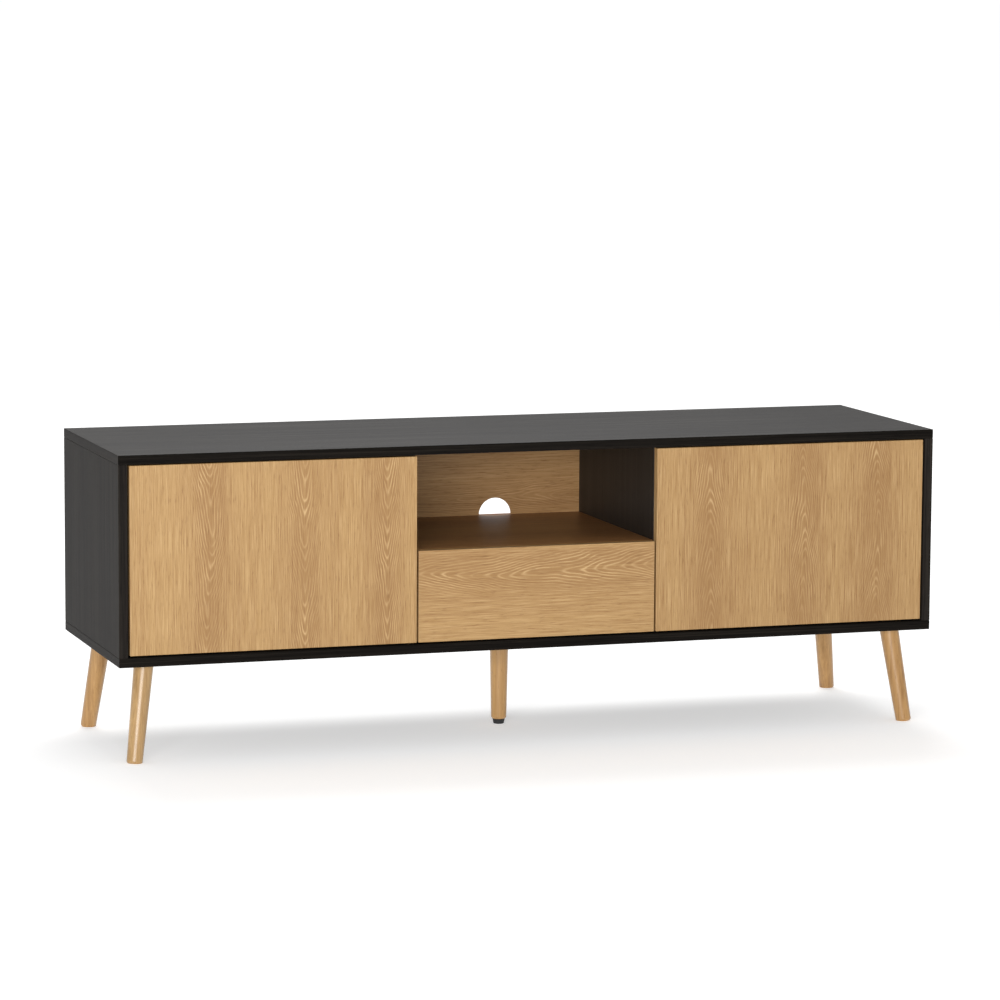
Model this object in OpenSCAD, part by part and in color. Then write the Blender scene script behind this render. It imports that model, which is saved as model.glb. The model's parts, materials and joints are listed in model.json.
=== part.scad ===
// Low TV stand on turned wooden legs: two hinged doors, an open niche and one drawer.
// Millimetres, +Z up, front towards -Y, origin on the floor under the middle of the stand.

/* [Overall] */
// Overall width
stand_w = 1400; // [1100:10:1800]
// Overall depth
stand_d = 400; // [340:5:500]
// Overall height
stand_h = 500; // [420:5:620]
// Height of the legs
leg_h = 160; // [100:5:220]

/* [Boards] */
// Thickness of the carcass boards
board_t = 15; // [12.5:0.5:18]
// Thickness of the back panels
back_t = 3; // [2.5:0.1:4]
// Distance from the rear edge to the back panels
back_inset = 9; // [6:0.5:15]
// Depth of the grooves that hold the back panels
groove_depth = 5; // [3:0.5:6]
// Play of a back panel in its groove
groove_play = 0.4; // [0.2:0.1:1]

/* [Centre bay] */
// Clear width between the two dividers
bay_w = 413; // [330:1:520]
// Clear height of the open niche
niche_h = 156; // [120:1:190]
// Diameter of the half-round cable notch
notch_d = 58; // [40:1:80]
// Distance of the notch from the middle of the stand
notch_x = 53; // [-120:1:120]

/* [Fronts] */
// Thickness of the doors and of the drawer front
front_t = 15; // [13:0.5:18]
// Gap between a door and the side panel
gap_side = 3; // [2:0.1:4]
// Gap above the doors
gap_top = 2; // [1.5:0.1:4]
// Gap below the doors and the drawer front
gap_bottom = 3.5; // [2:0.1:5]
// Gap between a door and the drawer front
gap_between = 3; // [2:0.1:4]
// Air between the closed fronts and the dividers behind them
front_air = 2; // [1.5:0.1:4]

/* [Legs] */
// Leg diameter under the stand
leg_top_d = 32; // [28:1:40]
// Leg diameter at the floor
leg_foot_d = 26; // [20:1:32]
// Rounding of the leg ends
leg_round = 4.5; // [2:0.5:6]
// Lean of the corner legs
leg_lean = 10.7; // [6:0.1:14]
// Distance of a leg's axis from both edges, under the stand
leg_inset = 52.4; // [45:0.1:80]
// Height of the seat plate on the leg's axis
plate_h = 6; // [5.5:0.5:10]
// Side of the square leg plate
plate_w = 60; // [56:1:80]
// Thickness of the leg plate
plate_t = 2.5; // [2:0.1:4]
// Diameter of the bolt in a leg
leg_bolt_d = 8; // [6:1:10]
// Height of the middle leg's screw foot
screw_foot_h = 8; // [6:0.5:12]
// Travel of the screw foot
screw_foot_travel = 10; // [5:1:20]

/* [Hinges] */
// Diameter of a hinge cup
cup_d = 35; // [26:1:40]
// Depth of a hinge cup
cup_depth = 11.5; // [9:0.1:12]
// Distance from the door edge to the cup
cup_edge = 5; // [3:0.5:6]
// Distance from a door's end to its hinge
hinge_end = 62; // [50:1:90]
// Diameter of the hinge pin
pin_d = 4; // [3:0.5:5]

/* [Drawer] */
// Thickness of the drawer box boards
box_t = 12; // [10:0.5:15]
// Height of the drawer box
box_h = 100; // [80:1:110]
// Length of the drawer box behind its front
box_l = 350; // [250:5:350]
// Height of the drawer box above the cabinet floor
box_lift = 12; // [8:1:20]
// Width that each slide takes beside the drawer
slide_w = 12.7; // [12:0.1:14]
// Height of a slide
slide_h = 45; // [40:1:50]
// Steel thickness of a slide
slide_t = 1.2; // [1:0.1:1.4]

/* [Fastenings] */
// Diameter of a cam lock
cam_d = 15; // [12:0.5:16]
// Depth of a cam lock
cam_depth = 11.5; // [9:0.1:12]
// Distance from a board's end to the cam lock
cam_reach = 24; // [20:1:34]
// Diameter of a dowel
dowel_d = 8; // [6:0.5:8]
// Length of a dowel
dowel_l = 30; // [20:1:32]
// Diameter of a fitting screw
screw_d = 3.5; // [3:0.1:4]
// Length of a fitting screw under its head
screw_l = 10; // [8:0.5:11]

/* [Latches] */
// Width and height of a push latch housing
latch_w = 14; // [12:0.5:18]
// Length of a push latch housing
latch_l = 62; // [50:1:80]
// Diameter of a latch plunger
plunger_d = 8; // [6:0.5:9]
// Travel of a latch plunger
plunger_travel = 10; // [6:0.5:14]

/* [Hidden] */
$fn = 64;
fit = 0.05;             // radial play of pins, bolts and screws in their bores
seat = 0.3;             // air between parts that only rest near each other
overlap = 1;            // how far a cut runs past a face
x_out = stand_w / 2;
x_in = x_out - board_t;
y_front = -stand_d / 2;
y_back = stand_d / 2;
z_under = leg_h;
z_floor = z_under + board_t;
z_ceiling = stand_h - board_t;
z_shelf = z_ceiling - niche_h;
bay_x = bay_w / 2;
divider_x = bay_x + board_t / 2;
y_frame = y_front + front_t + front_air;
y_panel = y_back - back_inset - back_t;

// fronts
front_bottom = z_floor + gap_bottom;
door_top = z_ceiling - gap_top;
door_edge = x_in - gap_side;
y_door_back = y_front + front_t;
drawer_front_x = bay_x - gap_between;

// legs
leg_x = x_out - leg_inset;
leg_y = stand_d / 2 - leg_inset;
leg_along = leg_h / cos(leg_lean);
leg_bolt_l = 40;
leg_bolt_drop = 3;
boss_d = leg_top_d + 4;
leg_hole_at = plate_w / 2 - 7;
foot_rise = (leg_foot_d / 2 - leg_round) * tan(leg_lean);
foot_stem = screw_foot_travel + 25;
foot_floor_d = 17.5;
foot_top_d = 21;

// hinges, measured from the side panel's inner face and from the stand's front face
cup_x = gap_side + cup_edge + cup_d / 2;
cup_flange = 1;
cup_wall = 1;
cup_wing = 14;
arm_pin_x = 6;
arm_pin_y = front_t + 5;
eye = [arm_pin_x, arm_pin_y];
elbow = [cup_x + 16.5, arm_pin_y + 6.5];
tip = [cup_x + 10.5, front_t - 7];
link_t = 2;
link_h = 12;
eye_d = pin_d + 4;
arm_h = 18;
arm_w = arm_pin_x + eye_d / 2;
arm_reach = 80;
arm_wall = 3;
hinge_plate_t = 2;
hinge_plate_y = 64;
hinge_plate_l = 34;
hinge_plate_wing = 14;
hinge_z = [front_bottom + hinge_end, door_top - hinge_end];

// drawer
box_x = bay_x - slide_w;
z_box = z_floor + box_lift;
box_back_y = y_door_back + box_l;
box_floor_z = z_box + 8;
back_screw_l = 40;
back_screw_d = 5;
slide_l = box_l - 4;
slide_y = y_door_back + 3;
slide_z = z_box + box_h / 2;
slide_air = 0.8;
slide_gap = slide_t + slide_air;
middle_h = slide_h - 2 * slide_gap;
runner_h = middle_h - 2 * slide_gap;
rail_lip_gap = 2.5;
runner_lip_gap = 2 * slide_gap + 1;
slide_screw_inset = 35;
slide_screw_y = [slide_y + slide_screw_inset, slide_y + slide_l / 2, slide_y + slide_l - slide_screw_inset];
slide_screw_d = screw_d * 0.8;
slide_head = slide_t + 0.4;

// fastenings
bolt_d = 6;
bolt_neck = 4;
bolt_head = 6.6;
bolt_bite = 10;
cam_slot_w = 1.6;
cam_slot_h = 3;
joint_inset = 50;
dowel_inset = 102;
dowel_bite = board_t * 0.56;
joint_y = [y_front + joint_inset, y_back - joint_inset];
dowel_y = [y_front + dowel_inset, y_back - dowel_inset];
box_joint_z = [z_box + box_h * 0.25, z_box + box_h * 0.75];

// latches
latch_drop = 40;
latch_z = z_ceiling - latch_drop;
latch_y = y_frame + 3;
strike_t = 1;
strike_d = 14;
door_latch_x = bay_x + board_t + latch_w / 2;
latch_stem = plunger_travel + 14;
latch_ear = 6;
latch_ear_t = 2.5;
latch_screw_y = [latch_l * 0.2, latch_l * 0.8];
latches = ["left", "right", "drawer"];

black = [0.16, 0.15, 0.14];
oak = [0.79, 0.63, 0.43];
leg_wood = [0.80, 0.64, 0.46];
steel = [0.74, 0.75, 0.77];
fibreboard = [0.55, 0.42, 0.30];
plastic = [0.10, 0.10, 0.10];

// ---- helpers ----

// A box from its low corner to its high corner.
module block(low, high) {
    translate(low) cube(high - low);
}

// The same shape on the right, mirrored to the left when side is -1.
module on_side(side) {
    if (side > 0) children();
    else mirror([1, 0, 0]) children();
}

// A countersunk screw pointing along -Z with its head's top at z = 0.
module screw(l, d, play = 0) {
    head_h = d * 0.5;
    rotate_extrude() polygon([[0, 0], [d + play, 0], [d / 2 + play, -head_h],
        [d / 2 + play, -l + d / 2], [play, -l - play], [0, -l - play]]);
}

// ---- fastening places ----

// Each upright board: its x, and which face carries its cam locks.
uprights = [[-x_in - board_t / 2, 1], [-divider_x, -1], [divider_x, 1], [x_in + board_t / 2, -1]];

// Every cam joint between an upright and the top or bottom panel, as a frame whose
// origin is on the meeting face, +Z into the upright and +X towards its cam face.
module upright_joints(places) {
    for (u = uprights, y = places) {
        translate([u[0], y, z_floor]) rotate([0, 0, u[1] > 0 ? 0 : 180]) children();
        translate([u[0], y, z_ceiling]) rotate([180, 0, u[1] > 0 ? 0 : 180]) children();
    }
}

// The shelf's joints with the dividers: +Z into the shelf, +X down to its underside.
module shelf_joints(places) {
    for (side = [-1, 1], y = places)
        translate([side * bay_x, y, z_shelf - board_t / 2])
            rotate([0, 0, side > 0 ? 180 : 0]) rotate([0, 90, 0]) children();
}

// A cam lock, its bolt channel running towards -Z.
module cam_lock(t, play = 0) {
    translate([t / 2 - cam_depth - play, 0, cam_reach]) rotate([0, 90, 0]) difference() {
        cylinder(d = cam_d + 2 * play, h = cam_depth + play + (play > 0 ? overlap : 0));
        if (play == 0) {
            translate([0, 0, cam_depth - t / 2]) rotate([0, 90, 0]) cylinder(d = bolt_head + 1, h = cam_d);
            translate([0, 0, cam_depth - t / 2]) sphere(d = bolt_head + 1);
            block([-cam_d * 0.3, -cam_slot_w / 2, cam_depth - cam_slot_h / 2],
                [cam_d * 0.3, cam_slot_w / 2, cam_depth + cam_slot_h / 2]);
        }
    }
}

// A cam bolt: threaded end below z = 0, shoulder, neck and head up to the cam.
module cam_bolt() {
    rotate_extrude() polygon([[0, -bolt_bite], [bolt_d / 2 - 1, -bolt_bite],
        [bolt_d / 2, -bolt_bite + 1], [bolt_d / 2, 2], [bolt_neck / 2, 3],
        [bolt_neck / 2, cam_reach - 3], [bolt_head / 2, cam_reach - 2],
        [bolt_head / 2, cam_reach], [0, cam_reach]]);
}

// The bores that a cam joint needs in both boards; the bolt's head passes the upper one.
module cam_cut(t) {
    cam_lock(t, fit);
    translate([0, 0, -bolt_bite - fit]) cylinder(d = bolt_d + 2 * fit, h = bolt_bite + 2 * fit);
    cylinder(d = bolt_head + 2 * fit, h = cam_reach + fit);
}

module dowel(play = 0) {
    c = play > 0 ? 0 : 1;
    r = dowel_d / 2 + play;
    half = dowel_l / 2 + 10 * play;
    translate([0, 0, dowel_l / 2 - dowel_bite])
        rotate_extrude() polygon([[0, -half], [r - c, -half], [r, -half + c],
        [r, half - c], [r - c, half], [0, half]]);
}

module carcass_cuts() {
    upright_joints(joint_y) cam_cut(board_t);
    upright_joints(dowel_y) dowel(fit);
    shelf_joints(joint_y) cam_cut(board_t);
    shelf_joints(dowel_y) dowel(fit);
}

// Grooves for the back panels all round the three bays.
module back_cuts() {
    g = groove_depth;
    for (b = [[-x_in, -bay_x - board_t, z_floor, z_ceiling], [bay_x + board_t, x_in, z_floor, z_ceiling],
              [-bay_x, bay_x, z_shelf, z_ceiling], [-bay_x, bay_x, z_floor, z_shelf - board_t]])
        block([b[0] - g, y_panel - groove_play / 2, b[2] - g],
            [b[1] + g, y_panel + back_t + groove_play / 2, b[3] + g]);
}

module back_panel(x0, x1, z0, z1) {
    reach = groove_depth - groove_play;
    block([x0 - reach, y_panel, z0 - groove_depth],
        [x1 + reach, y_panel + back_t, z1 + reach]);
}

// ---- legs ----

// The four corner legs' frames: origin under the stand on the leg's axis, -Z down the leg.
module corner_leg_frame(sx, sy) {
    translate([sx * leg_x, sy * leg_y, z_under])
        rotate([0, 0, atan2(sy, sx)]) rotate([0, -leg_lean, 0]) children();
}

module leg_body(len) {
    top_r = leg_top_d / 2;
    foot_r = leg_foot_d / 2;
    rotate_extrude() polygon(concat([[0, -plate_h], [top_r - 1, -plate_h], [top_r, -plate_h - 1]],
        [for (a = [0:15:90]) [foot_r - leg_round, leg_round - len] + leg_round * [cos(a), -sin(a)]],
        [[0, -len]]));
}

// A turned leg, leaning outwards and cut level with the floor.
module corner_leg(sx, sy) {
    color(leg_wood) difference() {
        corner_leg_frame(sx, sy) leg_body(leg_along + foot_rise);
        block([-stand_w, -stand_d, -leg_h], [stand_w, stand_d, 0]);
        corner_leg_frame(sx, sy) leg_bolt(fit);
    }
}

module leg_bolt(play = 0) {
    translate([0, 0, -leg_bolt_l - play])
        cylinder(d = leg_bolt_d + 2 * play, h = leg_bolt_l - leg_bolt_drop + play);
}

module leg_plate() {
    translate([-plate_w / 2, -plate_w / 2, -plate_t]) cube([plate_w, plate_w, plate_t]);
}

module plate_screw_places() {
    for (sx = [-1, 1], sy = [-1, 1]) translate([sx * leg_hole_at, sy * leg_hole_at, 0]) children();
}

module plate_screw_at(play = 0) {
    plate_screw_places() translate([0, 0, -plate_t]) rotate([180, 0, 0]) screw(board_t - 1, screw_d, play);
}

module corner_leg_plate(sx, sy) {
    difference() {
        union() {
            translate([sx * leg_x, sy * leg_y, z_under]) leg_plate();
            intersection() {
                corner_leg_frame(sx, sy) translate([0, 0, -plate_h]) cylinder(d = boss_d, h = 4 * plate_h);
                block([-stand_w, -stand_d, 0], [stand_w, stand_d, z_under]);
            }
        }
        corner_leg_frame(sx, sy) leg_bolt(fit);
        translate([sx * leg_x, sy * leg_y, z_under]) plate_screw_at(fit);
    }
}

// ---- hinges, drawn for the right door and mirrored for the left ----

// Frame at the right side panel's inner face and the front face; +X outwards is -u.
module hinge_frame(side) {
    on_side(side) for (z = hinge_z) translate([x_in, y_front, z]) mirror([1, 0, 0]) children();
}

module cup_cut() {
    translate([cup_x, front_t - cup_depth - fit, 0]) rotate([-90, 0, 0])
        cylinder(d = cup_d + 2 * fit, h = cup_depth + overlap);
}

module cup() {
    difference() {
        union() {
            translate([cup_x, front_t - cup_depth, 0]) rotate([-90, 0, 0]) cylinder(d = cup_d, h = cup_depth);
            block([cup_x - cup_d / 2, front_t, -cup_d / 2 - cup_wing],
                [cup_x + cup_d / 2, front_t + cup_flange, cup_d / 2 + cup_wing]);
        }
        translate([cup_x, front_t - cup_depth + cup_wall, 0]) rotate([-90, 0, 0])
            cylinder(d = cup_d - 2 * cup_wall, h = cup_depth + cup_flange + overlap);
        cup_screws(fit);
    }
}

module cup_screws(play = 0) {
    for (s = [-1, 1]) translate([cup_x, front_t + cup_flange, s * (cup_d + cup_wing) / 2])
        rotate([-90, 0, 0]) screw(screw_l, screw_d, play);
}

// The link: an eye on the arm's pin, and a strap that bends at its elbow and ends in the cup.
module link() {
    turn = (strap_dir(eye, elbow) + strap_dir(elbow, tip)) / 2;
    mitre = link_t / 2 / cos((strap_dir(elbow, tip) - strap_dir(eye, elbow)) / 2);
    translate([0, 0, -link_h / 2]) linear_extrude(link_h) difference() {
        union() {
            translate(eye) circle(d = eye_d);
            polygon([beside(eye, strap_dir(eye, elbow), 1), beside(elbow, turn, mitre),
                beside(tip, strap_dir(elbow, tip), 1), beside(tip, strap_dir(elbow, tip), -1),
                beside(elbow, turn, -mitre), beside(eye, strap_dir(eye, elbow), -1)]);
            translate(tip) circle(d = link_t * 2);
        }
        translate(eye) circle(d = pin_d + 2 * fit);
    }
}

// Direction from a to b, and the point a given distance to the left of it at p.
function strap_dir(a, b) = atan2(b[1] - a[1], b[0] - a[0]);
function beside(p, dir, away) = p + away * [-sin(dir), cos(dir)];

module pin(play = 0) {
    translate([arm_pin_x, arm_pin_y, 0]) cylinder(d = pin_d + 2 * play, h = arm_h, center = true);
}

// The arm: two cheeks round the link's eye, and a body back to the mounting plate.
module arm() {
    cheek = (arm_h - link_h) / 2 - seat;
    difference() {
        union() {
            for (s = [-1, 1]) translate([0, 0, s * (arm_h - cheek) / 2]) {
                translate([arm_pin_x, arm_pin_y, 0]) cylinder(d = eye_d, h = cheek, center = true);
                block([hinge_plate_t, arm_pin_y, -cheek / 2], [arm_w, arm_reach, cheek / 2]);
            }
            block([hinge_plate_t, arm_pin_y + eye_d, -arm_h / 2], [arm_w, arm_reach, arm_h / 2]);
        }
        pin(fit);
        block([hinge_plate_t + arm_wall, arm_pin_y + eye_d + arm_wall, arm_wall - arm_h / 2],
            [arm_w + overlap, arm_reach - arm_wall, arm_h / 2 - arm_wall]);
    }
}

// Side-panel fixing: a cross-shaped plate with a screw above and below the arm.
module hinge_plate() {
    difference() {
        block([0, hinge_plate_y - hinge_plate_l / 2, -arm_h / 2 - hinge_plate_wing],
            [hinge_plate_t, hinge_plate_y + hinge_plate_l / 2, arm_h / 2 + hinge_plate_wing]);
        hinge_plate_screws(fit);
    }
}

module hinge_plate_screws(play = 0) {
    for (s = [-1, 1]) translate([hinge_plate_t, hinge_plate_y, s * (arm_h + hinge_plate_wing) / 2])
        rotate([0, 90, 0]) screw(screw_l, screw_d, play);
}

// ---- slides, drawn on the right ----

// A C-shaped steel section: web at x0, lips reaching towards x1.
module channel(x0, x1, h, y0, len) {
    dir = x1 > x0 ? 1 : -1;
    xa = min(x0, x0 + dir * slide_t);
    block([xa, y0, slide_z - h / 2], [xa + slide_t, y0 + len, slide_z + h / 2]);
    for (s = [-1, 1]) {
        za = slide_z + s * (h / 2) - (s > 0 ? slide_t : 0);
        block([min(x0, x1), y0, za], [max(x0, x1), y0 + len, za + slide_t]);
    }
}

module slide_rail() {
    difference() {
        channel(bay_x, box_x + rail_lip_gap, slide_h, slide_y, slide_l);
        slide_rail_screws(fit);
    }
}

module slide_middle() {
    channel(bay_x - slide_gap, box_x + slide_gap, middle_h, slide_y, slide_l);
}

module slide_runner() {
    difference() {
        channel(box_x, bay_x - runner_lip_gap, runner_h, slide_y, slide_l);
        runner_screw_set(fit);
    }
}

module slide_rail_screws(play = 0) {
    for (y = slide_screw_y) translate([bay_x - slide_head, y, slide_z]) rotate([0, -90, 0])
        screw(screw_l, slide_screw_d, play);
}

module runner_screw_set(play = 0) {
    for (y = slide_screw_y) translate([box_x + slide_head, y, slide_z]) rotate([0, 90, 0])
        screw(box_t - 2, slide_screw_d, play);
}

// ---- drawer joints ----

// Cam joints between the drawer front and the box sides: +Z into the side, +X to its inner face.
module drawer_cam_places() {
    for (side = [-1, 1], z = box_joint_z)
        translate([side * (box_x - box_t / 2), y_door_back, z])
            rotate([-90, 0, 0]) rotate([0, 0, side > 0 ? 180 : 0]) children();
}

// Screws through the box sides into the ends of the box back.
module drawer_back_screw_set(play = 0) {
    for (side = [-1, 1], z = box_joint_z)
        translate([side * box_x, box_back_y - box_t / 2, z]) rotate([0, side * 90, 0])
            screw(back_screw_l, back_screw_d, play);
}

module box_groove() {
    block([-box_x + box_t - groove_depth, y_door_back - groove_depth, box_floor_z - groove_play / 2],
        [box_x - box_t + groove_depth, box_back_y - box_t + groove_depth,
            box_floor_z + back_t + groove_play / 2]);
}

module box_side(side) {
    on_side(side) difference() {
        block([box_x - box_t, y_door_back, z_box], [box_x, box_back_y, z_box + box_h]);
        box_groove();
        drawer_cam_places() cam_cut(box_t);
        drawer_back_screw_set(fit);
        runner_screw_set(fit);
    }
}

// ---- latches ----

// A push latch's frame: plunger towards -Y, mounting ears on the +X side of the housing,
// origin at the middle of the housing's mouth.
module latch_frame(which) {
    if (which == "left") translate([-door_latch_x, latch_y, latch_z]) children();
    if (which == "right") translate([door_latch_x, latch_y, latch_z]) rotate([0, 180, 0]) children();
    if (which == "drawer") translate([0, latch_y, z_shelf - board_t - latch_w / 2])
        rotate([0, -90, 0]) children();
}

module latch_housing(which) {
    latch_frame(which) difference() {
        union() {
            translate([-latch_w / 2, 0, -latch_w / 2]) cube([latch_w, latch_l, latch_w]);
            for (y = latch_screw_y)
                block([latch_w / 2 - latch_ear_t, y - latch_ear, -latch_w / 2 - 2 * latch_ear],
                    [latch_w / 2, y + latch_ear, latch_w / 2 + 2 * latch_ear]);
        }
        translate([0, -overlap, 0]) rotate([-90, 0, 0])
            cylinder(d = plunger_d + 4 * fit, h = latch_l - latch_ear_t + overlap);
        latch_screw_set(fit);
    }
}

module latch_screw_set(play = 0) {
    for (y = latch_screw_y, s = [-1, 1])
        translate([latch_w / 2 - latch_ear_t, y, s * (latch_w / 2 + latch_ear)])
            rotate([0, -90, 0]) screw(screw_l, screw_d, play);
}

// The plunger stands a little out of the housing and nearly touches what it pushes.
module latch_plunger(which) {
    out = latch_y - y_door_back - strike_t - seat;
    color(plastic) latch_frame(which) translate([0, -out, 0]) rotate([-90, 0, 0]) rotate_extrude()
        polygon([[0, 0], [plunger_d / 2 - 1, 0], [plunger_d / 2, 1],
            [plunger_d / 2, out + latch_stem], [0, out + latch_stem]]);
}

// A coil spring along +Y between the plunger and the housing's end.
module latch_spring(which) {
    turns = 8;
    wire = 0.8;
    r = plunger_d / 2 - 1;
    y0 = latch_stem + wire;
    y1 = latch_l - latch_ear_t - wire;
    steps = turns * 12;
    sides = 6;
    ring = [for (k = [0:steps]) let (a = k * 30, y = y0 + (y1 - y0) * k / steps)
        [for (j = [0:sides - 1]) let (b = j * 360 / sides, q = r + wire / 2 * cos(b))
            [q * cos(a), y + wire / 2 * sin(b), q * sin(a)]]];
    pts = [for (k = [0:steps]) for (j = [0:sides - 1]) ring[k][j]];
    last = steps * sides;
    latch_frame(which) polyhedron(pts, concat(
        [[for (j = [0:sides - 1]) j]],
        [for (k = [0:steps - 1]) for (j = [0:sides - 1]) let (n = (j + 1) % sides)
            [k * sides + n, k * sides + j, (k + 1) * sides + j]],
        [for (k = [0:steps - 1]) for (j = [0:sides - 1]) let (n = (j + 1) % sides)
            [k * sides + n, (k + 1) * sides + j, (k + 1) * sides + n]],
        [[for (j = [sides - 1:-1:0]) last + j]]));
}

// ---- cabinet ----

module top_panel() {
    color(black) difference() {
        block([-x_out, y_front, z_ceiling], [x_out, y_back, stand_h]);
        carcass_cuts();
        back_cuts();
    }
}

module bottom_panel() {
    color(black) difference() {
        block([-x_out, y_front, z_under], [x_out, y_back, z_floor]);
        carcass_cuts();
        back_cuts();
        for (sx = [-1, 1], sy = [-1, 1]) translate([sx * leg_x, sy * leg_y, z_under]) plate_screw_at(fit);
        translate([0, 0, z_under]) plate_screw_at(fit);
    }
}

module side_panel(side) {
    color(black) difference() {
        on_side(side) block([x_in, y_front, z_floor], [x_out, y_back, z_ceiling]);
        carcass_cuts();
        back_cuts();
        hinge_frame(side) hinge_plate_screws(fit);
    }
}

module divider(side) {
    color(black) difference() {
        on_side(side) block([bay_x, y_frame, z_floor], [bay_x + board_t, y_back, z_ceiling]);
        carcass_cuts();
        back_cuts();
        on_side(side) slide_rail_screws(fit);
        latch_frame(side > 0 ? "right" : "left") latch_screw_set(fit);
    }
}

module centre_shelf() {
    color(oak) difference() {
        block([-bay_x, y_frame, z_shelf - board_t], [bay_x, y_back, z_shelf]);
        carcass_cuts();
        back_cuts();
        latch_frame("drawer") latch_screw_set(fit);
    }
}

module niche_back_panel() {
    color(oak) difference() {
        back_panel(-bay_x, bay_x, z_shelf, z_ceiling);
        translate([notch_x, y_panel - overlap, z_shelf]) rotate([-90, 0, 0])
            cylinder(d = notch_d, h = back_t + 2 * overlap);
        block([notch_x - notch_d / 2, y_panel - overlap, z_shelf - groove_depth - overlap],
            [notch_x + notch_d / 2, y_panel + back_t + overlap, z_shelf]);
    }
}

module drawer_bay_back_panel() {
    color(fibreboard) back_panel(-bay_x, bay_x, z_floor, z_shelf - board_t);
}

module cupboard_back_panel(side) {
    color(fibreboard) on_side(side) back_panel(bay_x + board_t, x_in, z_floor, z_ceiling);
}

module cam_locks() {
    color(steel) {
        upright_joints(joint_y) cam_lock(board_t);
        shelf_joints(joint_y) cam_lock(board_t);
    }
}

module cam_bolts() {
    color(steel) {
        upright_joints(joint_y) cam_bolt();
        shelf_joints(joint_y) cam_bolt();
    }
}

module wooden_dowels() {
    color(oak) {
        upright_joints(dowel_y) dowel();
        shelf_joints(dowel_y) dowel();
    }
}

// The straight middle leg, with a bore for its screw foot.
module centre_leg() {
    color(leg_wood) translate([0, 0, z_under]) difference() {
        leg_body(leg_h - screw_foot_h);
        leg_bolt(fit);
        translate([0, 0, -leg_h]) cylinder(d = leg_bolt_d + 2 * fit, h = foot_stem + 4 + screw_foot_h);
    }
}

module centre_foot() {
    color(plastic) union() {
        cylinder(d1 = foot_floor_d, d2 = foot_top_d, h = screw_foot_h - fit);
        cylinder(d = leg_bolt_d, h = screw_foot_h + foot_stem);
    }
}

module corner_leg_plates() {
    color(steel) for (sx = [-1, 1], sy = [-1, 1]) corner_leg_plate(sx, sy);
}

module centre_leg_plate() {
    color(steel) translate([0, 0, z_under]) difference() {
        union() {
            leg_plate();
            translate([0, 0, -plate_h]) cylinder(d = boss_d, h = plate_h);
        }
        leg_bolt(fit);
        plate_screw_at(fit);
    }
}

module leg_bolts() {
    color(steel) {
        for (sx = [-1, 1], sy = [-1, 1]) corner_leg_frame(sx, sy) leg_bolt();
        translate([0, 0, z_under]) leg_bolt();
    }
}

module leg_plate_screws() {
    color(steel) {
        for (sx = [-1, 1], sy = [-1, 1]) translate([sx * leg_x, sy * leg_y, z_under]) plate_screw_at();
        translate([0, 0, z_under]) plate_screw_at();
    }
}

module hinge_plates() {
    color(steel) for (side = [-1, 1]) hinge_frame(side) hinge_plate();
}

module hinge_arms(side) {
    color(steel) hinge_frame(side) arm();
}

module hinge_pins() {
    color(steel) for (side = [-1, 1]) hinge_frame(side) pin();
}

module fitting_screws() {
    color(steel) {
        for (side = [-1, 1]) hinge_frame(side) hinge_plate_screws();
        for (side = [-1, 1]) on_side(side) slide_rail_screws();
        for (which = latches) latch_frame(which) latch_screw_set();
    }
}

module latch_housings() {
    color(plastic) for (which = latches) latch_housing(which);
}

module latch_springs() {
    color(steel) for (which = latches) latch_spring(which);
}

// ---- doors ----

module door(side) {
    color(oak) difference() {
        on_side(side) block([bay_x, y_front, front_bottom], [door_edge, y_door_back, door_top]);
        hinge_frame(side) {
            cup_cut();
            cup_screws(fit);
        }
    }
}

module hinge_cups(side) {
    color(steel) hinge_frame(side) cup();
}

module hinge_cup_screws(side) {
    color(steel) hinge_frame(side) cup_screws();
}

// The steel disc that a latch's tip holds.
module strike_plate(which) {
    color(steel) latch_frame(which) translate([0, y_door_back - latch_y, 0]) rotate([-90, 0, 0])
        cylinder(d = strike_d, h = strike_t);
}

module hinge_links(side) {
    color(steel) hinge_frame(side) link();
}

// ---- drawer ----

module drawer_front() {
    color(oak) difference() {
        block([-drawer_front_x, y_front, front_bottom], [drawer_front_x, y_door_back, z_shelf]);
        box_groove();
        drawer_cam_places() cam_cut(box_t);
    }
}

module drawer_back() {
    color(black) difference() {
        block([-box_x + box_t, box_back_y - box_t, z_box], [box_x - box_t, box_back_y, z_box + box_h]);
        box_groove();
        drawer_back_screw_set(fit);
    }
}

module drawer_bottom() {
    reach = groove_depth - groove_play;
    color(fibreboard) block([-box_x + box_t - reach, y_door_back - reach, box_floor_z],
        [box_x - box_t + reach, box_back_y - box_t + reach, box_floor_z + back_t]);
}

module drawer_side(side) {
    color(black) box_side(side);
}

module drawer_cam_locks() {
    color(steel) drawer_cam_places() cam_lock(box_t);
}

module drawer_cam_bolts() {
    color(steel) drawer_cam_places() cam_bolt();
}

module drawer_back_screws() {
    color(steel) drawer_back_screw_set();
}

module runner_screws() {
    color(steel) for (side = [-1, 1]) on_side(side) runner_screw_set();
}

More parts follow.
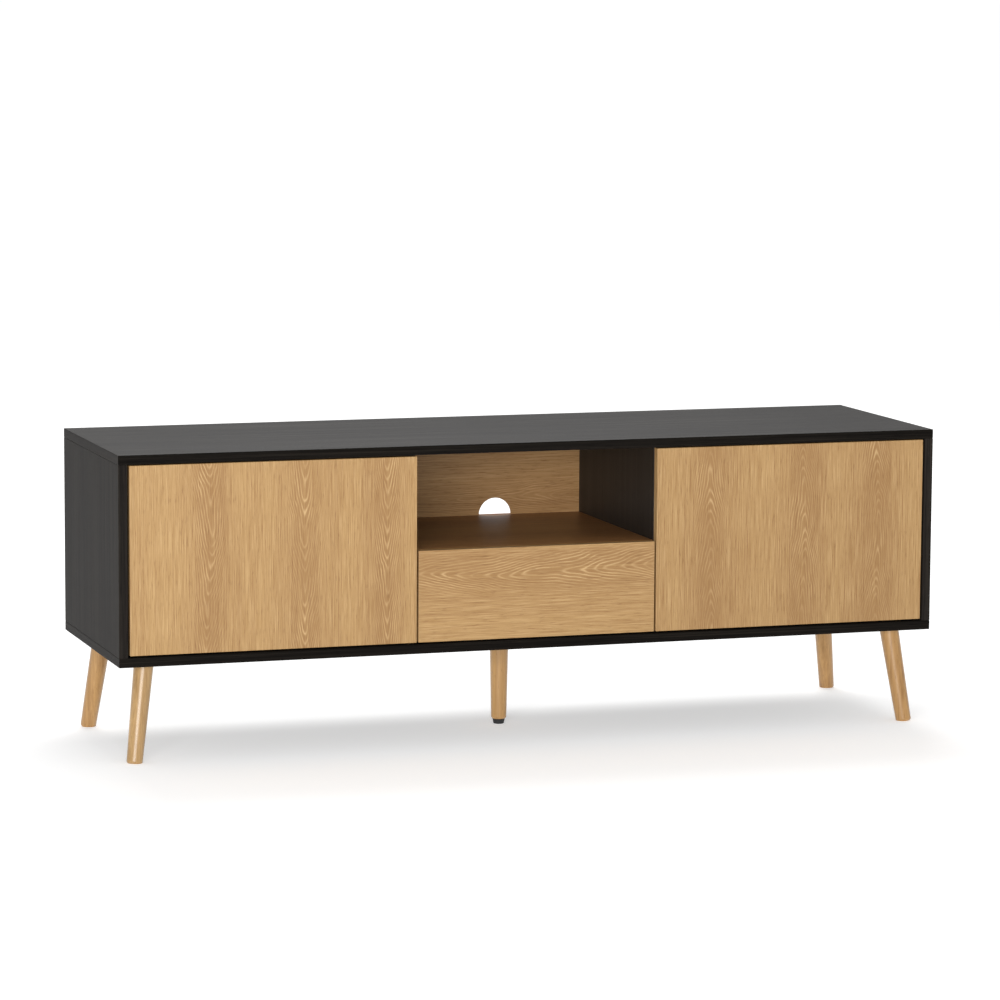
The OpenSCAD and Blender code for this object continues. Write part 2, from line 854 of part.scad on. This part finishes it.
top_panel();
bottom_panel();
side_panel(-1);  // left_side_panel
side_panel(1);  // right_side_panel
divider(-1);  // left_divider
divider(1);  // right_divider
centre_shelf();
niche_back_panel();
drawer_bay_back_panel();
cupboard_back_panel(-1);  // left_back_panel
cupboard_back_panel(1);  // right_back_panel
cam_locks();
cam_bolts();
wooden_dowels();
corner_leg(-1, -1);  // front_left_leg
corner_leg(1, -1);  // front_right_leg
corner_leg(-1, 1);  // back_left_leg
corner_leg(1, 1);  // back_right_leg
centre_leg();
corner_leg_plates();
centre_leg_plate();
leg_bolts();
leg_plate_screws();
centre_foot();
hinge_plates();
hinge_arms(-1);  // left_hinge_arms
hinge_arms(1);  // right_hinge_arms
hinge_pins();
fitting_screws();
color(steel) on_side(-1) slide_rail();  // left_slide_rail
color(steel) on_side(1) slide_rail();  // right_slide_rail
color(steel) on_side(-1) slide_middle();  // left_slide_middle
color(steel) on_side(1) slide_middle();  // right_slide_middle
latch_housings();
latch_springs();
door(-1);  // left_door
hinge_cups(-1);  // left_hinge_cups
hinge_cup_screws(-1);  // left_cup_screws
strike_plate("left");  // left_strike_plate
door(1);  // right_door
hinge_cups(1);  // right_hinge_cups
hinge_cup_screws(1);  // right_cup_screws
strike_plate("right");  // right_strike_plate
strike_plate("drawer");  // drawer_strike_plate
hinge_links(-1);  // left_hinge_links
hinge_links(1);  // right_hinge_links
drawer_front();
drawer_side(-1);  // drawer_left_side
drawer_side(1);  // drawer_right_side
drawer_back();
drawer_bottom();
drawer_cam_locks();
drawer_cam_bolts();
drawer_back_screws();
color(steel) on_side(-1) slide_runner();  // left_slide_runner
color(steel) on_side(1) slide_runner();  // right_slide_runner
runner_screws();
latch_plunger("left");  // left_latch_plunger
latch_plunger("right");  // right_latch_plunger
latch_plunger("drawer");  // drawer_latch_plunger
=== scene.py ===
import json
import math

import bmesh
import bpy
import numpy as np
from mathutils import Euler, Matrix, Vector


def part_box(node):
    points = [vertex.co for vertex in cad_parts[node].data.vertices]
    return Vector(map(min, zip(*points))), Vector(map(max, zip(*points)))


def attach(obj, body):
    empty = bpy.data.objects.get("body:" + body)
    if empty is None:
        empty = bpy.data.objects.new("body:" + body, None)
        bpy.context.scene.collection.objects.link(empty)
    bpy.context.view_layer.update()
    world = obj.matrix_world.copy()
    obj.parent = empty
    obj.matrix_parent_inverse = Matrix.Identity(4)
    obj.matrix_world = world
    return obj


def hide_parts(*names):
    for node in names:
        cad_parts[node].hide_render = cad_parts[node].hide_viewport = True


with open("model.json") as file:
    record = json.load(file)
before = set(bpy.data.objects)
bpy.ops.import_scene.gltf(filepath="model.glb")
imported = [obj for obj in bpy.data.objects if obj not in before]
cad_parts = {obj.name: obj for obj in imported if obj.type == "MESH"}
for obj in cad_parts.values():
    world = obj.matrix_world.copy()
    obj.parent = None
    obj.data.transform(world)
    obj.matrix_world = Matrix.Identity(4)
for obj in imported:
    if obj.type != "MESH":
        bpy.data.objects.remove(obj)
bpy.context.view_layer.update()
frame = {"nodes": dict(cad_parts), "record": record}
nodes = frame["nodes"]
record = frame["record"]
bodyOf = {node: body for body, members in record["behaviour"]["bodies"].items() for node in members}
slotOf = {entry["node"]: entry["material_slot"] for entry in record["subparts"]}
mm = 0.001
white = (255, 255, 255)
unmoved = (0, 0, 0)
print("frame loaded:", len(nodes), "nodes")


class Field:
    # a value in a node tree: sums, products and powers of fields add Math nodes
    def __init__(self, tree, socket):
        self.tree = tree
        self.socket = socket

    def maths(self, operation, *others, clamp=False):
        settings = {"operation": operation, "use_clamp": clamp}
        return self.tree.node("ShaderNodeMath", settings, dict(enumerate((self,) + others)))

    def __add__(self, other):
        return self.maths("ADD", other)

    def __radd__(self, other):
        return self.maths("ADD", other)

    def __sub__(self, other):
        return self.maths("SUBTRACT", other)

    def __rsub__(self, other):
        return self.tree.value(other).maths("SUBTRACT", self)

    def __mul__(self, other):
        return self.maths("MULTIPLY", other)

    def __rmul__(self, other):
        return self.maths("MULTIPLY", other)

    def __pow__(self, other):
        return self.maths("POWER", other)

    def __rpow__(self, other):
        return self.tree.value(other).maths("POWER", self)

    def __abs__(self):
        return self.maths("ABSOLUTE")

    def clamp(self):
        return self.maths("ADD", 0.0, clamp=True)

    def smooth(self, low, high):
        # 0 below low, 1 above high, eased between
        return self.tree.node("ShaderNodeMapRange", {"interpolation_type": "SMOOTHSTEP"},
                              {"Value": self, "From Min": low, "From Max": high})


class Tree:
    # a material's or the world's node tree
    def __init__(self, owner):
        owner.use_nodes = True
        self.links = owner.node_tree.links
        self.nodes = owner.node_tree.nodes

    def node(self, kind, settings, sockets, output=0):
        made = self.nodes.new(kind)
        for key, setting in settings.items():
            setattr(made, key, setting)
        self.fill(made, sockets)
        return Field(self, made.outputs[output])

    def fill(self, target, sockets):
        for key, given in sockets.items():
            if isinstance(given, Field):
                self.links.new(given.socket, target.inputs[key])
            else:
                target.inputs[key].default_value = given

    def value(self, number):
        made = self.node("ShaderNodeValue", {}, {})
        made.socket.default_value = number
        return made


class Finish(Tree):
    # one procedural material
    def __init__(self, name):
        self.material = bpy.data.materials.new(name)
        super().__init__(self.material)
        self.place = self.node("ShaderNodeTexCoord", {}, {}, "Object")

    def axes(self):
        # x, y and z of the point, in metres
        return [self.node("ShaderNodeSeparateXYZ", {}, {"Vector": self.place}, axis) for axis in range(3)]

    def noise(self, grain, along=0):
        # grain holds the cells in a metre across and along the axis, the detail, roughness and shift
        across, lengthwise, detail, rough, shift = grain
        scale = [across] * 3
        scale[along] = lengthwise
        drawn = self.node("ShaderNodeMapping", {}, {"Vector": self.place, "Scale": scale, "Location": shift})
        return self.node("ShaderNodeTexNoise", {},
                         {"Vector": drawn, "Scale": 1.0, "Detail": detail, "Roughness": rough})

    def mix(self, factor, first, second, blend="MIX"):
        return self.node("ShaderNodeMix", {"data_type": "RGBA", "blend_type": blend},
                         {"Factor": factor, 6: colour(first), 7: colour(second)}, 2)

    def bump(self, height, distance, strength):
        return self.node("ShaderNodeBump", {},
                         {"Height": height, "Distance": distance, "Strength": strength})

    def shade(self, sockets):
        self.fill(self.nodes["Principled BSDF"], sockets)
        return self.material


def colour(given):
    # display red, green and blue from 0 to 255, as the linear colour that a shader wants
    if isinstance(given, Field):
        return given
    share = np.array(given, float) / 255
    linear = np.where(share <= 0.04045, share / 12.92, ((share + 0.055) / 1.055) ** 2.4)
    return (*linear.tolist(), 1.0)


oak = {
    "light": (172, 137, 89),       # straight grain
    "warm": (148, 111, 68),        # darker bands and the ground of the figures
    "line": (203, 170, 122),       # pale growth lines
    "pore": (120, 83, 49),         # short dark pores
    "figureWidth": 32 * mm,        # from a figure's middle to its edge
    "slope": 6.5,                  # how steeply a figure's sides run
    "ring": 3.6 * mm,              # distance between growth lines, across the grain
    "tip": 4.5 * mm,               # rounding of a figure's tips
    "sharpness": 3.2,              # higher makes the growth lines thinner
    "drift": 30 * mm,              # how far a figure's middle wanders
    "wave": 6.5 * mm,              # how far the growth lines wave
    "swell": 22 * mm,              # how far the gaps between them vary
    "figureLines": 0.66,           # strength of the growth lines in a figure
    "outerLines": 0.12,            # and around it
    "plainWarmth": 0.2,            # how far the wood turns warm everywhere,
    "bandWarmth": 0.3,             # in the bands,
    "outerWarmth": 0.3,            # around a figure,
    "figureWarmth": 0.25,          # in it,
    "streakWarmth": 2.7,           # and from streak to streak
    "paleGrain": 3.6,              # contrast of the fine grain towards pale
    "darkGrain": 2.4,              # and towards dark
    "poreDepth": 0.4,              # how dark the pores are
    "roughness": 0.42,
    "gloss": 0.3,
    "relief": 0.12 * mm,
    "driftGrain": (7, 4.2, 2.0, 0.5, unmoved),
    "waveGrain": (55, 11, 3.0, 0.55, unmoved),
    "swellGrain": (9, 8, 2.0, 0.5, (3, 9, 1)),
    "lineGrain": (70, 22, 2.0, 0.6, (6, 6, 2)),          # where single lines fade
    "patchGrain": (11, 6, 2.0, 0.5, (2, 7, 5)),          # where whole figures fade
    "bandGrain": (30, 0.9, 3.0, 0.6, unmoved),
    "streakGrain": (330, 2.6, 4.0, 0.75, (3, 5, 7)),
    "fineGrain": (950, 15, 3.0, 0.7, (11, 2, 5)),
    "poreGrain": (560, 60, 1.0, 0.5, (1, 8, 3)),
}


def oakFinish(name, figures, across=0, along=2, direction=1.0, tone=0.0, slope=1.0, size=1.0, shade=white):
    # figures are the places of the figures' middles on the axis across the grain; direction turns their tips
    # a growth line is a contour of: distance from the nearest middle, less height over slope, plus noise
    finish = Finish(name)
    axes = finish.axes()
    drift, wave, swell, lines, patches, bands, streaks, fine, pores = (
        finish.noise(oak[kind + "Grain"], along)
        for kind in ("drift", "wave", "swell", "line", "patch", "band", "streak", "fine", "pore"))
    side = axes[across] + (drift - 0.5) * oak["drift"]
    nearest = abs(side - figures[0])
    for figure in figures[1:]:
        nearest = nearest.maths("MINIMUM", abs(side - figure))
    bowl = (nearest * nearest + oak["tip"] ** 2) ** 0.5
    height = axes[along] * (direction / (oak["slope"] * slope))
    bent = bowl - height + (wave - 0.5) * oak["wave"] + (swell - 0.5) * oak["swell"]
    turns = (bent * (2 * math.pi / (oak["ring"] * size))).maths("SINE")
    fading = (lines.smooth(0.25, 0.7) * 0.75 + 0.1) * (patches.smooth(0.4, 0.6) * 0.75 + 0.5)
    line = (turns * 0.5 + 0.5) ** oak["sharpness"] * fading
    width = oak["figureWidth"] * size
    inside = 1 - nearest.smooth(width * 0.45, width)
    around = 1 - nearest.smooth(width * 0.7, width * 2.2)
    pore = pores.smooth(0.55, 0.7)
    warmth = (bands.smooth(0.35, 0.7) * oak["bandWarmth"] + around * oak["outerWarmth"]
              + inside * oak["figureWarmth"] + (streaks - 0.5) * oak["streakWarmth"])
    lined = line * (inside * oak["figureLines"] + around * oak["outerLines"])
    pale = ((fine - 0.5) * oak["paleGrain"] + 0.14).clamp() * (0.85 - inside * 0.5)
    dark = (0.45 - fine) * oak["darkGrain"] + pore * oak["poreDepth"]
    base = finish.mix((warmth + (tone + oak["plainWarmth"])).clamp(), oak["light"], oak["warm"])
    base = finish.mix(lined.clamp(), base, oak["line"])
    base = finish.mix(pale, base, oak["line"])
    base = finish.mix(dark.clamp(), base, oak["pore"])
    relief = finish.bump(fine * 0.5 - pore + line * inside * 0.3, oak["relief"], 0.35)
    return finish.shade({"Base Color": finish.mix(1.0, base, shade, "MULTIPLY"), "Normal": relief,
                         "Roughness": oak["roughness"] + (streaks - 0.5) * 0.14,
                         "Specular IOR Level": oak["gloss"]})


black = {
    "dark": (25, 22, 20),
    "pale": (45, 41, 37),
    "streak": (66, 61, 55),
    "pore": (14, 13, 12),
    "fineContrast": 2.6,
    "bandContrast": 1.4,
    "poreDepth": 0.6,
    "roughness": 0.5,
    "relief": 0.2 * mm,
    "fineGrain": (330, 5, 4.0, 0.7, unmoved),
    "bandGrain": (70, 1.6, 2.0, 0.6, (4, 1, 9)),
    "poreGrain": (900, 26, 1.0, 0.5, (2, 6, 1)),
    "brushGrain": (420, 1.7, 2.0, 0.6, (8, 3, 3)),
}


def blackFinish(name, gloss, lines, along=0, shade=white):
    # fine straight grain: noises drawn out along the board give its tone, pores and pale brushed lines,
    # whose strength is lines
    finish = Finish(name)
    grain, band, pores, brushed = (finish.noise(black[kind + "Grain"], along)
                                   for kind in ("fine", "band", "pore", "brush"))
    pore = pores.smooth(0.52, 0.7)
    brush = brushed.smooth(0.52, 0.68)
    tone = (grain - 0.5) * black["fineContrast"] + (band - 0.5) * black["bandContrast"] + 0.4
    base = finish.mix(tone.clamp(), black["dark"], black["pale"])
    base = finish.mix(pore * black["poreDepth"], base, black["pore"])
    base = finish.mix(brush * lines, base, black["streak"])
    relief = finish.bump(grain * 0.7 - pore * 0.6 + brush * lines, black["relief"], 0.5)
    roughness = black["roughness"] + (grain - 0.5) * 0.16 - brush * (lines * 0.1)
    return finish.shade({"Base Color": finish.mix(1.0, base, shade, "MULTIPLY"), "Normal": relief,
                         "Roughness": roughness, "Specular IOR Level": gloss})


turned = {
    "light": (190, 154, 103),
    "dark": (144, 109, 64),
    "fleck": (112, 80, 42),
    "amber": (255, 243, 224),      # a warm tint, which only the front left leg lacks
    "fineContrast": 1.6,
    "bandContrast": 1.4,
    "fleckDepth": 0.45,
    "roughness": 0.33,
    "lacquer": 0.25,
    "lacquerRoughness": 0.2,
    "relief": 0.1 * mm,
    "fineGrain": (260, 7, 4.0, 0.6, unmoved),
    "bandGrain": (60, 3, 2.0, 0.5, (7, 3, 1)),
    "fleckGrain": (800, 70, 1.0, 0.5, (5, 2, 4)),
}


def turnedWood(name, tone=0.0, shade=turned["amber"]):
    # long grain up the leg, with short flecks, under a thin lacquer
    finish = Finish(name)
    grain, band, flecks = (finish.noise(turned[kind + "Grain"], 2) for kind in ("fine", "band", "fleck"))
    depth = (grain - 0.5) * turned["fineContrast"] + (band - 0.5) * turned["bandContrast"] + (tone + 0.45)
    base = finish.mix(depth.clamp(), turned["light"], turned["dark"])
    base = finish.mix(flecks.smooth(0.66, 0.76) * turned["fleckDepth"], base, turned["fleck"])
    return finish.shade({"Base Color": finish.mix(1.0, base, shade, "MULTIPLY"),
                         "Roughness": turned["roughness"] + (band - 0.5) * 0.1,
                         "Coat Weight": turned["lacquer"], "Coat Roughness": turned["lacquerRoughness"],
                         "Normal": finish.bump(grain, turned["relief"], 0.25)})


plated = {
    "zinc": (196, 200, 206),
    "zincRoughness": 0.3,
    "nickel": (208, 204, 196),
    "nickelRoughness": 0.22,
    "spot": 0.8,                   # brightness of the darker spots
    "relief": 0.04 * mm,
    "brushGrain": (2600, 140, 3.0, 0.6, unmoved),
    "cloudGrain": (45, 45, 3.0, 0.6, (2, 2, 8)),
}


def platedSteel(name, metal):
    # rolled steel under plating: faint brushing, cloudy gloss and a few darker spots
    finish = Finish(name)
    brushed, cloud = (finish.noise(plated[kind + "Grain"]) for kind in ("brush", "cloud"))
    spot = tuple(plated["spot"] * part for part in plated[metal])
    return finish.shade({"Base Color": finish.mix(((cloud - 0.5) * 0.9 + 0.35).clamp(), plated[metal], spot),
                         "Metallic": 1.0, "Normal": finish.bump(brushed, plated["relief"], 0.3),
                         "Roughness": (cloud - 0.5) * 0.25 + (brushed - 0.5) * 0.12
                         + plated[metal + "Roughness"]})


moulded = {
    "dark": (22, 22, 23),
    "pale": (33, 33, 34.5),
    "roughness": 0.5,
    "relief": 0.08 * mm,
    "speckleGrain": (1400, 1400, 3.0, 0.7, unmoved),
    "cloudGrain": (90, 90, 2.0, 0.5, unmoved),
}


def mouldedPlastic(name):
    # fine spark-eroded texture and slight cloudiness
    finish = Finish(name)
    speckle, cloud = (finish.noise(moulded[kind + "Grain"]) for kind in ("speckle", "cloud"))
    return finish.shade({"Base Color": finish.mix(cloud, moulded["dark"], moulded["pale"]),
                         "Roughness": (speckle - 0.5) * 0.25 + moulded["roughness"],
                         "Normal": finish.bump(speckle, moulded["relief"], 0.35)})


fibreboard = {
    "dark": (34, 31, 29),
    "pale": (58, 53, 48),
    "roughness": 0.62,
    "relief": 0.15 * mm,
    "fibreGrain": (420, 420, 4.0, 0.75, unmoved),
    "flowGrain": (60, 60, 2.0, 0.6, (1, 4, 2)),
}


def hardboard(name):
    # black-lacquered fibreboard: short random fibres in every direction
    finish = Finish(name)
    fibres, flow = (finish.noise(fibreboard[kind + "Grain"]) for kind in ("fibre", "flow"))
    tone = ((fibres - 0.5) * 1.6 + (flow - 0.5) * 0.8 + 0.5).clamp()
    return finish.shade({"Base Color": finish.mix(tone, fibreboard["dark"], fibreboard["pale"]),
                         "Roughness": fibreboard["roughness"] + (fibres - 0.5) * 0.2,
                         "Normal": finish.bump(fibres, fibreboard["relief"], 0.4)})


def spans(node, axis, *shares):
    # places at these shares of a node's length along an axis
    low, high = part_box(node)
    return [low[axis] + (high[axis] - low[axis]) * share for share in shares]


# on a door the figures stand side by side; on the drawer front, the niche's back and the shelf they lie
finishes = {
    "leftDoor": oakFinish("oak_left_door", spans("left_door", 0, 0.27, 0.6, 0.9)),
    # painted shade: the right door's darker tone stands in for the light falling off towards the right
    "rightDoor": oakFinish("oak_right_door_painted_shade", spans("right_door", 0, 0.2, 0.55, 0.83), direction=-1.0,
                           tone=0.12),
    "drawerFront": oakFinish("oak_drawer_front", spans("drawer_front", 2, 0.74), across=2, along=0,
                             tone=0.05, slope=0.95, size=1.2),
    # painted light: the niche's back is lighter and redder than the oak, for the light and warm bounce
    # reaching it
    "niche": oakFinish("oak_niche_painted_light", spans("niche_back_panel", 2, 0.2, 0.9), across=2, along=0, tone=-0.65,
                       slope=2, shade=(255, 245, 244)),
    # painted shade: the shelf's darker, redder tone stands in for the shadow and warm bounce light inside
    # the niche
    "shelf": oakFinish("oak_shelf_painted_shade", spans("centre_shelf", 1, 0.3, 0.75), across=1, along=0, tone=0.1,
                       slope=2, shade=(240, 214, 200)),
    "blackTop": blackFinish("black_laminate_top", 0.15, 0.9),
    "blackLong": blackFinish("black_laminate_long", 0.08, 0.55),
    "blackUpright": blackFinish("black_laminate_upright", 0.03, 0.2, along=2),
    "blackDeep": blackFinish("black_laminate_deep", 0.03, 0.2, along=1),
    # painted shade: a darker black laminate for the top and bottom panels' faces in front and behind
    "blackShaded": blackFinish("black_laminate_painted_shade", 0.03, 0.5, shade=(175, 173, 170)),
    "blackDivider": blackFinish("black_laminate_divider", 0.26, 0.2, along=2),
    "leg": turnedWood("turned_leg_wood"),
    "paleLeg": turnedWood("turned_leg_wood_pale", shade=white),
    # painted light: the centre leg's lighter tone offsets the shade that the cabinet casts over it
    "centreLegPaintedLight": turnedWood("turned_leg_wood_centre_painted_light", tone=-0.35),
    "dowel": turnedWood("dowel_wood"),
    "zinc": platedSteel("zinc_plated_steel", "zinc"),
    "nickel": platedSteel("nickel_plated_steel", "nickel"),
    "plastic": mouldedPlastic("black_moulded_plastic"),
    "hardboard": hardboard("black_hardboard"),
}
bySlot = {
    "black_laminate": "blackUpright",
    "oak_laminate": "shelf",
    "turned_wood": "leg",
    "dowel_wood": "dowel",
    "fibreboard": "hardboard",
    "zinc_steel": "zinc",
    "nickel_steel": "nickel",
    "black_plastic": "plastic",
}
byNode = {
    "top_panel": "blackTop",
    "bottom_panel": "blackLong",
    "left_divider": "blackDivider",
    "right_divider": "blackDivider",
    "left_door": "leftDoor",
    "right_door": "rightDoor",
    "niche_back_panel": "niche",
    "centre_shelf": "shelf",
    "drawer_front": "drawerFront",
    "drawer_left_side": "blackDeep",
    "drawer_right_side": "blackDeep",
    "drawer_back": "blackLong",
    "front_left_leg": "paleLeg",
    "centre_leg": "centreLegPaintedLight",
}
finishOf = {node: finishes[byNode.get(node, bySlot[slotOf[node]])] for node in nodes}
print("materials made:", len(finishes))


def paint(thing, *materials):
    thing.data.materials.clear()
    for material in materials:
        thing.data.materials.append(material)


for node, thing in nodes.items():
    paint(thing, finishOf[node])


def rounded(thing, name, method, width, steps):
    bevel = thing.modifiers.new(name, "BEVEL")
    bevel.limit_method = method
    bevel.width = width
    bevel.segments = steps
    bevel.harden_normals = True
    return bevel


hardware = {
    "names": ["corner_leg_plates", "centre_leg_plate", "hinge_plates", "left_hinge_arms", "right_hinge_arms",
              "left_hinge_cups", "right_hinge_cups", "left_hinge_links", "right_hinge_links",
              "latch_housings"],
    "ease": 0.35 * mm,
    "steps": 2,
    "weld": 0.001 * mm,
    "sharp": math.radians(35),     # an edge that turns more than this is eased
}


def easeHardware(node):
    weld = nodes[node].modifiers.new("welded", "WELD")
    weld.merge_threshold = hardware["weld"]
    bevel = rounded(nodes[node], "softened", "ANGLE", hardware["ease"], hardware["steps"])
    bevel.angle_limit = hardware["sharp"]


for node in hardware["names"]:
    easeHardware(node)
print("hardware eased:", len(hardware["names"]))

boards = {
    "names": ["top_panel", "bottom_panel", "left_side_panel", "right_side_panel", "left_divider",
              "right_divider", "centre_shelf", "left_door", "right_door", "drawer_front", "drawer_left_side",
              "drawer_right_side", "drawer_back"],
    "shadedBoards": ["top_panel", "bottom_panel"],    # painted shade on the faces in front and behind, grain along each end
    "ease": 1.0 * mm,                           # radius of the arrises
    "steps": 3,
    "weld": 0.001 * mm,
    "near": 0.01 * mm,                          # a corner this close to the box's face lies on it
    "flat": math.radians(0.5),                  # faces that turn less than this become one
    "facing": 0.9,                              # a normal this long along an axis faces that way
}


def readAll(items, key, width, kind=np.float32):
    # one property of all the items, a row for each
    values = np.empty(len(items) * width, kind)
    items.foreach_get(key, values)
    return values.reshape(-1, width)


def weldedShape(node):
    # a copy of the node's mesh with its corners joined and its flat faces whole
    mesh = nodes[node].data.copy()
    shape = bmesh.new()
    shape.from_mesh(mesh)
    bmesh.ops.remove_doubles(shape, verts=shape.verts, dist=boards["weld"])
    bmesh.ops.dissolve_limit(shape, angle_limit=boards["flat"], verts=shape.verts, edges=shape.edges)
    shape.to_mesh(mesh)
    shape.free()
    return mesh


def markArrises(mesh, box):
    # an edge is an outer arris where both its ends lie on the same two faces of the board's box
    onFace = np.abs(readAll(mesh.vertices, "co", 3)[:, None] - np.array(box)) < boards["near"]
    ends = readAll(mesh.edges, "vertices", 2, np.int32)
    shared = (onFace[ends[:, 0]] & onFace[ends[:, 1]]).sum(axis=(1, 2))
    weight = mesh.attributes.new("bevel_weight_edge", "FLOAT", "EDGE")
    weight.data.foreach_set("value", (shared >= 2).astype(np.float32))


def easedBoard(node):
    # the node's own shape, with its outer arrises rounded
    mesh = weldedShape(node)
    markArrises(mesh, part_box(node))
    board = bpy.data.objects.new(node + "_board", mesh)
    bpy.context.scene.collection.objects.link(board)
    rounded(board, "eased", "WEIGHT", boards["ease"], boards["steps"])
    # the ends take grain along the depth; the faces in front and behind take the painted shade
    if node in boards["shadedBoards"]:
        paint(board, finishOf[node], finishes["blackDeep"], finishes["blackShaded"])
        ends, fronts = np.abs(readAll(mesh.polygons, "normal", 3)[:, :2].T) > boards["facing"]
        mesh.polygons.foreach_set("material_index", (ends + 2 * fronts).astype(np.int32))
    else:
        paint(board, finishOf[node])
    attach(board, bodyOf[node])
    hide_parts(node)


for node in boards["names"]:
    easedBoard(node)
print("boards eased:", len(boards["names"]))

studio = {
    "air": 0.5,                    # brightness of the pale surroundings
    "floorSize": 480.0,
    "floorTone": (0.9, 0.9, 0.9, 1),
    "floorRoughness": 0.9,
    "nearGlow": (0.42, 0.42, 0.42, 1),
    "farGlow": (0.56, 0.56, 0.56, 1),
    "glowReach": (1.0, 4.5),       # where the glow starts and stops growing
    "front": {"place": (-2.2, -4.6, 0.95), "aim": (0, 0, 0.35), "size": (2.6, 1.4), "power": 155},
    "overhead": {"place": (0.6, 2.8, 4.0), "aim": (0, 0, 0), "size": (3.0, 2.0), "power": 105},
}


def softbox(name, place, aim, size, power):
    data = bpy.data.lights.new(name, "AREA")
    data.shape = "RECTANGLE"
    data.size, data.size_y = size
    data.energy = power
    lamp = bpy.data.objects.new(name, data)
    lamp.location = place
    x, y, z = np.subtract(place, aim)
    lamp.rotation_euler = (math.atan2(math.hypot(x, y), z), 0, math.atan2(x, -y))
    bpy.context.scene.collection.objects.link(lamp)


def studioFloor():
    # a pale plane whose faint glow grows with distance, so that it fades to white
    half = studio["floorSize"] / 2
    mesh = bpy.data.meshes.new("floor")
    corners = [(-half, -half, 0), (half, -half, 0), (half, half, 0), (-half, half, 0)]
    mesh.from_pydata(corners, [], [(0, 1, 2, 3)])
    floor = bpy.data.objects.new("floor", mesh)
    bpy.context.scene.collection.objects.link(floor)
    finish = Finish("studio_floor")
    across, deep = finish.axes()[:2]
    away = ((across * across + deep * deep) ** 0.5).smooth(*studio["glowReach"])
    glow = finish.node("ShaderNodeMix", {"data_type": "RGBA"},
                       {"Factor": away, 6: studio["nearGlow"], 7: studio["farGlow"]}, 2)
    paint(floor, finish.shade({"Base Color": studio["floorTone"], "Roughness": studio["floorRoughness"],
                               "Specular IOR Level": 0.0, "Emission Color": glow, "Emission Strength": 1.0}))


def studioAir():
    # the air lights the stand softly, and what is seen past the floor's far edge is as white as the floor
    world = bpy.data.worlds.new("studio")
    bpy.context.scene.world = world
    air = Tree(world)
    seen = air.node("ShaderNodeLightPath", {}, {}, "Is Camera Ray")
    strength = seen * (1 - studio["air"]) + studio["air"]
    air.fill(air.nodes["Background"], {"Color": (1, 1, 1, 1), "Strength": strength})


studioFloor()
studioAir()
softbox("front_softbox", **studio["front"])
softbox("overhead_softbox", **studio["overhead"])
bpy.context.scene.view_settings.view_transform = "Standard"

view = {
    "place": (-2.1674, -6.5707, 1.2847),
    "turn": 18.257,
    "down": 7.452,
    "roll": 0.338,
    "lens": 149.81,
    "sensor": 36,
    "reach": 900,                  # the farthest that it sees, in metres
}


def placeCamera():
    data = bpy.data.cameras.new("camera")
    data.lens = view["lens"]
    data.sensor_width = view["sensor"]
    data.clip_end = view["reach"]
    camera = bpy.data.objects.new("camera", data)
    camera.location = view["place"]
    # heading, then tilt, then roll about the line of sight
    look = (Euler((0, 0, math.radians(-view["turn"]))).to_matrix()
            @ Euler((math.radians(90 - view["down"]), 0, 0)).to_matrix()
            @ Euler((0, 0, math.radians(view["roll"]))).to_matrix())
    camera.rotation_euler = look.to_euler()
    bpy.context.scene.collection.objects.link(camera)
    bpy.context.scene.camera = camera


placeCamera()
print("studio ready")
